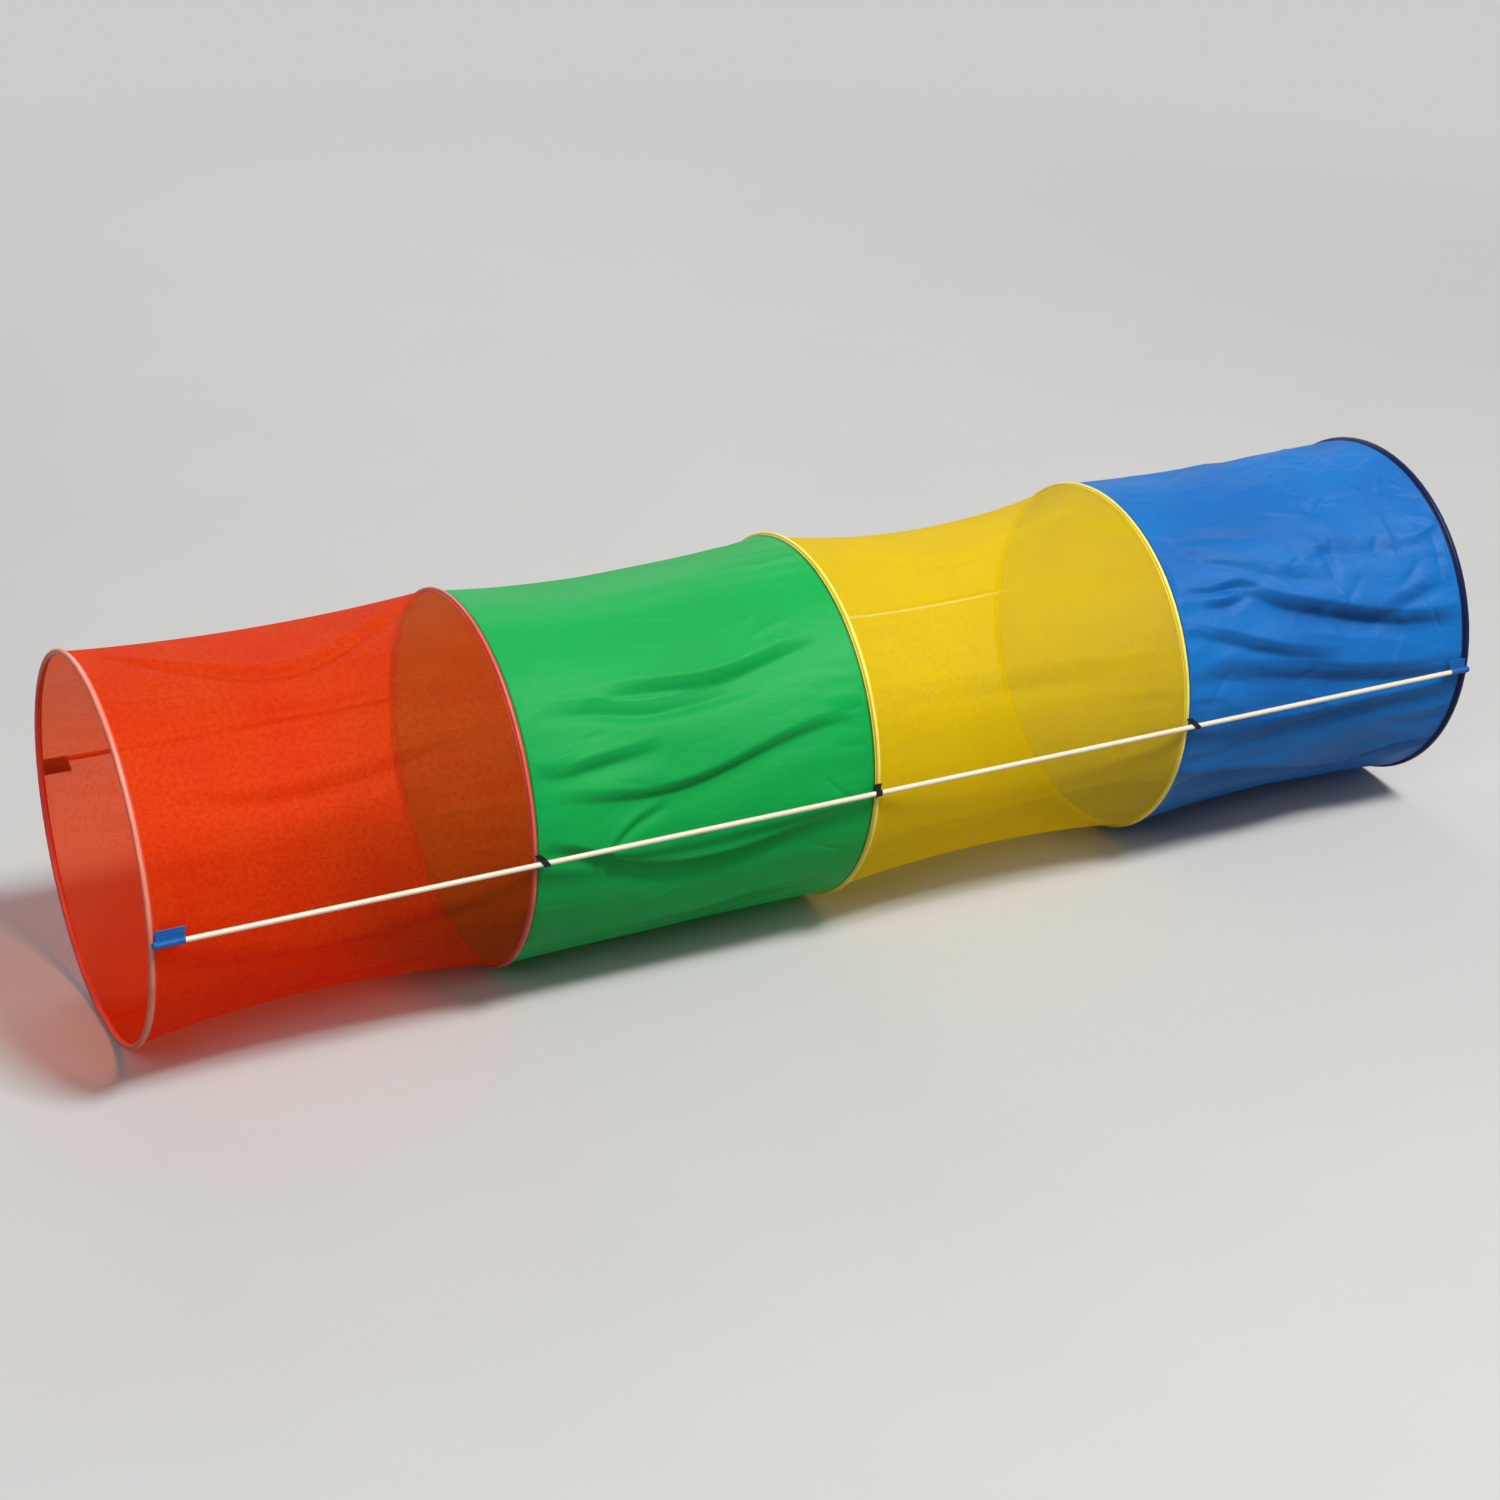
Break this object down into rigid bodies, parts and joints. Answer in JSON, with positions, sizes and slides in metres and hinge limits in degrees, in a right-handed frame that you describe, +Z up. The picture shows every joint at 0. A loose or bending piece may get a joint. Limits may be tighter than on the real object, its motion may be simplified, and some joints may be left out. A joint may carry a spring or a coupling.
{
  "type": "crawl tunnel",
  "caption": "Child's crawl tunnel: sheer and opaque cloth bays between bound round hoops, held open by side rods, folding flat along its length.",
  "frame": {"origin": "on the ground under the middle of the tunnel", "axes": "+X along the tunnel from the red mouth to the blue mouth, +Z up"},
  "size_m": [1.808, 0.4858, 0.4654],
  "materials": {
    "hoop_rod": "satin glass fibre rod",
    "ferrule": "thin rolled steel",
    "red_binding": "woven binding tape",
    "yellow_binding": "woven binding tape",
    "navy_binding": "woven binding tape",
    "red_mesh": "sheer net cloth, seen through",
    "green_cloth": "light coated taffeta",
    "yellow_mesh": "sheer net cloth, seen through",
    "blue_cloth": "light coated taffeta",
    "pocket_cloth": "doubled taffeta",
    "elastic_loop": "woven elastic",
    "side_rod": "smooth off-white tube",
    "rod_plug": "moulded end plug"
  },
  "bodies": {
    "front_hoop": {"front_hoop_rod": "hoop_rod", "front_hoop_ferrule": "ferrule", "front_hoop_binding": "red_binding", "red_mesh_bay": "red_mesh", "right_front_pocket": "pocket_cloth", "left_front_pocket": "pocket_cloth"},
    "second_hoop": {"second_hoop_rod": "hoop_rod", "second_hoop_ferrule": "ferrule", "second_hoop_binding": "red_binding", "green_cloth_bay": "green_cloth", "right_second_loop": "elastic_loop", "left_second_loop": "elastic_loop"},
    "middle_hoop": {"middle_hoop_rod": "hoop_rod", "middle_hoop_ferrule": "ferrule", "middle_hoop_binding": "yellow_binding", "yellow_mesh_bay": "yellow_mesh", "right_middle_loop": "elastic_loop", "left_middle_loop": "elastic_loop"},
    "fourth_hoop": {"fourth_hoop_rod": "hoop_rod", "fourth_hoop_ferrule": "ferrule", "fourth_hoop_binding": "yellow_binding", "blue_cloth_bay": "blue_cloth", "right_fourth_loop": "elastic_loop", "left_fourth_loop": "elastic_loop"},
    "rear_hoop": {"rear_hoop_rod": "hoop_rod", "rear_hoop_ferrule": "ferrule", "rear_hoop_binding": "navy_binding", "right_rear_pocket": "pocket_cloth", "left_rear_pocket": "pocket_cloth"},
    "right_rod": {"right_rod_tube": "side_rod", "right_rod_front_plug": "rod_plug", "right_rod_rear_plug": "rod_plug"},
    "left_rod": {"left_rod_tube": "side_rod", "left_rod_front_plug": "rod_plug", "left_rod_rear_plug": "rod_plug"}
  },
  "joints": [
    {"name": "red_bay_fold", "type": "slide", "parent": "front_hoop", "child": "second_hoop", "axis": [-1, 0, 0], "range_m": [0, 0.422], "deforming": ["red_mesh_bay", "right_front_pocket", "left_front_pocket"]},
    {"name": "green_bay_fold", "type": "slide", "parent": "second_hoop", "child": "middle_hoop", "axis": [-1, 0, 0], "range_m": [0, 0.422], "deforming": ["green_cloth_bay"]},
    {"name": "yellow_bay_fold", "type": "slide", "parent": "middle_hoop", "child": "fourth_hoop", "axis": [-1, 0, 0], "range_m": [0, 0.422], "deforming": ["yellow_mesh_bay"]},
    {"name": "blue_bay_fold", "type": "slide", "parent": "fourth_hoop", "child": "rear_hoop", "axis": [-1, 0, 0], "range_m": [0, 0.422], "deforming": ["blue_cloth_bay", "right_rear_pocket", "left_rear_pocket"]},
    {"name": "right_rod_draw", "type": "slide", "parent": "front_hoop", "child": "right_rod", "axis": [-1, 0, 0], "range_m": [0, 1.8], "deforming": ["right_front_pocket"]},
    {"name": "left_rod_draw", "type": "slide", "parent": "front_hoop", "child": "left_rod", "axis": [-1, 0, 0], "range_m": [0, 1.8], "deforming": ["left_front_pocket"]}
  ]
}
